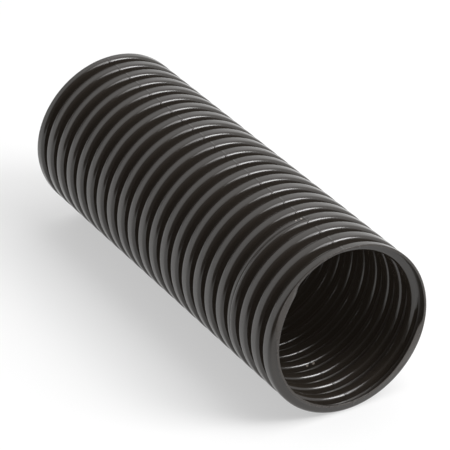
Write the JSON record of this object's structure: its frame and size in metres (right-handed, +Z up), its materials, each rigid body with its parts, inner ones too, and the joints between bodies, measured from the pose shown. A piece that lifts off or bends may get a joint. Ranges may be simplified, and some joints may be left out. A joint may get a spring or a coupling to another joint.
{
  "type": "corrugated conduit",
  "caption": "Short length of ringed flexible cable conduit in glossy black plastic, open at both ends, with each end sawn off slightly aslant.",
  "frame": {"origin": "on the floor, under the middle of the length, where the tube rests on its rings", "axes": "+Y along the tube's axis from the front end to the back end, +Z up"},
  "size_m": [0.0544, 0.1488, 0.0545],
  "materials": {
    "conduit": "as moulded, glossy black"
  },
  "bodies": {
    "root": {"conduit": "conduit"}
  },
  "joints": []
}
